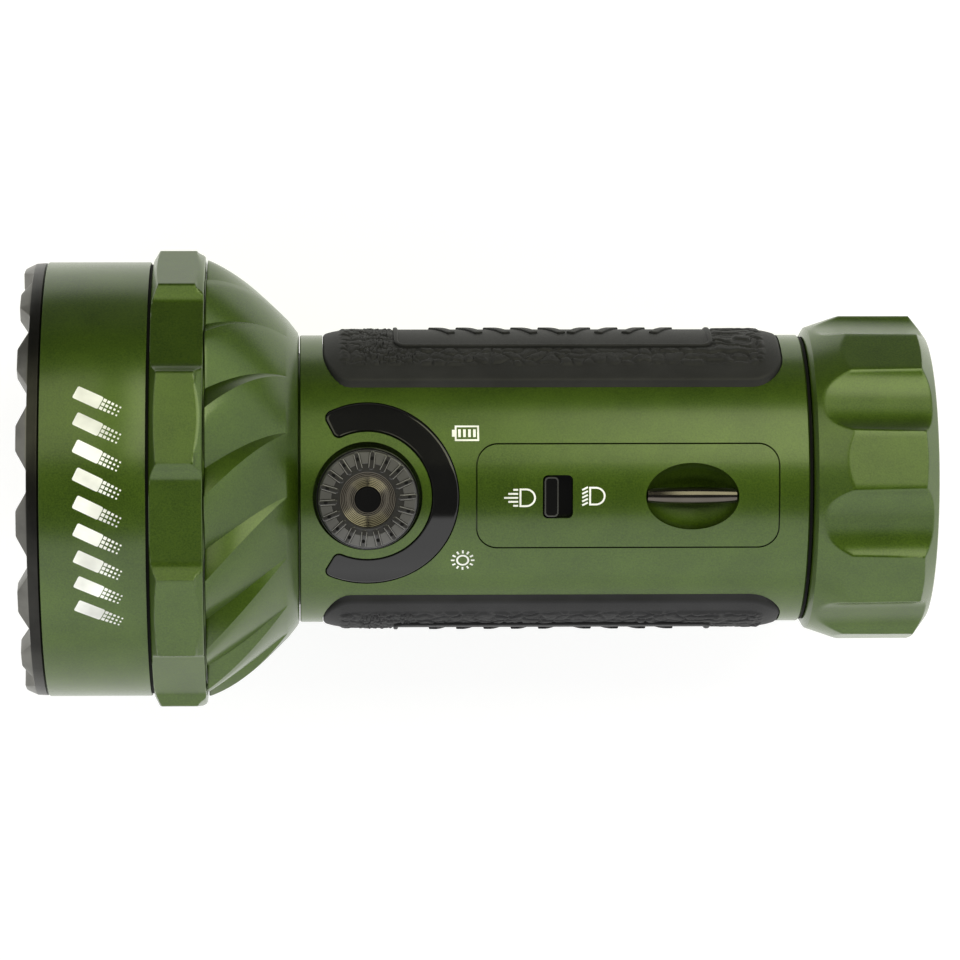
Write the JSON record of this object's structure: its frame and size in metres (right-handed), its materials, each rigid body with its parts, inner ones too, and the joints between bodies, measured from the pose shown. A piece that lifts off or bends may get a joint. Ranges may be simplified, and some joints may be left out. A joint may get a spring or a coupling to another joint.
{
  "type": "tactical flashlight",
  "caption": "Handheld tactical flashlight with flared finned head, toothed bezel, thumb knob, spot/flood selector, rubber grip pads and screw-on tail cap.",
  "frame": {"origin": "centre of the flat tail face, on the optical axis", "axes": "+X along the beam from tail to head, +Z through the thumb knob and control panel, +Y through a grip pad"},
  "size_m": [0.131, 0.0675, 0.0668],
  "materials": {
    "green_anodised": "fine-blasted green anodising",
    "dark_steel": "dark satin",
    "lens_glass": "clear, coated",
    "seal_rubber": "matte",
    "reflector_chrome": "bright",
    "board_core": "white solder mask",
    "circuit_board": "green solder mask",
    "led_yellow": "phosphor",
    "led_white": "clear resin",
    "black_plastic": "moulded",
    "spring_steel": "polished",
    "wire_sleeve": "silicone sleeve",
    "brass_contact": "plated",
    "pad_rubber": "moulded, pebbled",
    "gloss_black": "polished",
    "dark_chrome": "polished, dark",
    "smoked_plastic": "smoked, ribbed",
    "knob_metal": "turned rings",
    "slider_black": "moulded",
    "battery_wrap": "shrink wrap",
    "magnet_nickel": "nickel plated"
  },
  "bodies": {
    "root": {"strike_bezel": "dark_steel", "lens": "lens_glass", "lens_seal": "seal_rubber", "reflector": "reflector_chrome", "spot_led_board": "board_core", "spot_led": "led_yellow", "led_centring_ring": "black_plastic", "flood_led_board": "board_core", "flood_leds": "led_yellow", "colour_leds": "led_white", "board_screws": "spring_steel", "led_wires": "wire_sleeve", "head_barrel": "green_anodised", "barrel_seal": "seal_rubber", "grip_ring": "green_anodised", "heatsink_bell": "green_anodised", "driver_board": "circuit_board", "driver_parts": "black_plastic", "driver_retainer_ring": "brass_contact", "body_tube": "green_anodised", "grip_pad_left": "pad_rubber", "grip_pad_right": "pad_rubber", "indicator_window": "gloss_black", "indicator_strip": "circuit_board", "indicator_leds": "led_white", "control_panel": "green_anodised", "lanyard_bar": "dark_chrome", "selector_switch": "black_plastic", "knob_bushing": "brass_contact", "knob_seal": "seal_rubber", "encoder": "black_plastic", "switch_board": "circuit_board", "contact_board": "circuit_board", "front_contact_spring": "spring_steel", "battery_cell": "battery_wrap", "battery_positive_cap": "spring_steel", "battery_negative_plate": "spring_steel", "tail_seal": "seal_rubber", "tail_o_ring": "seal_rubber"},
    "knob_drive": {"knob_drive_sleeve": "brass_contact", "knob_spring": "spring_steel"},
    "knob": {"knob_base": "black_plastic", "knob_crown": "smoked_plastic", "knob_insert": "knob_metal", "knob_centre_cap": "gloss_black", "knob_stem": "spring_steel"},
    "selector": {"selector_slider": "slider_black"},
    "tail_carrier": {"tail_contact_plate": "brass_contact", "tail_spring": "spring_steel"},
    "tail_cap": {"tail_cap": "green_anodised", "charge_magnet": "magnet_nickel", "charge_ring": "brass_contact", "charge_insulator": "black_plastic", "charge_pin": "brass_contact"}
  },
  "joints": [
    {"name": "knob_turn", "type": "hinge", "parent": "root", "child": "knob_drive", "pos_m": [0.08168, 0, 0.0172], "axis": [0, 0, 1], "continuous": true},
    {"name": "knob_press", "type": "slide", "parent": "knob_drive", "child": "knob", "axis": [0, 0, -1], "range_m": [0, 0.0008], "stiffness_N_per_m": 800, "springref_m": -0.001, "deforming": ["knob_spring"]},
    {"name": "selector_slide", "type": "slide", "parent": "root", "child": "selector", "axis": [-1, 0, 0], "range_m": [0, 0.0018]},
    {"name": "tail_cap_travel", "type": "slide", "parent": "root", "child": "tail_carrier", "axis": [-1, 0, 0], "range_m": [0, 0.00625]},
    {"name": "tail_cap_turn", "type": "hinge", "parent": "tail_carrier", "child": "tail_cap", "pos_m": [0.009, 0, 0], "axis": [-1, 0, 0], "range_deg": [0, 1800]}
  ],
  "couplings": [
    {"joint": "tail_cap_travel", "follows": "tail_cap_turn", "m_per_rad": 0.00019894}
  ]
}
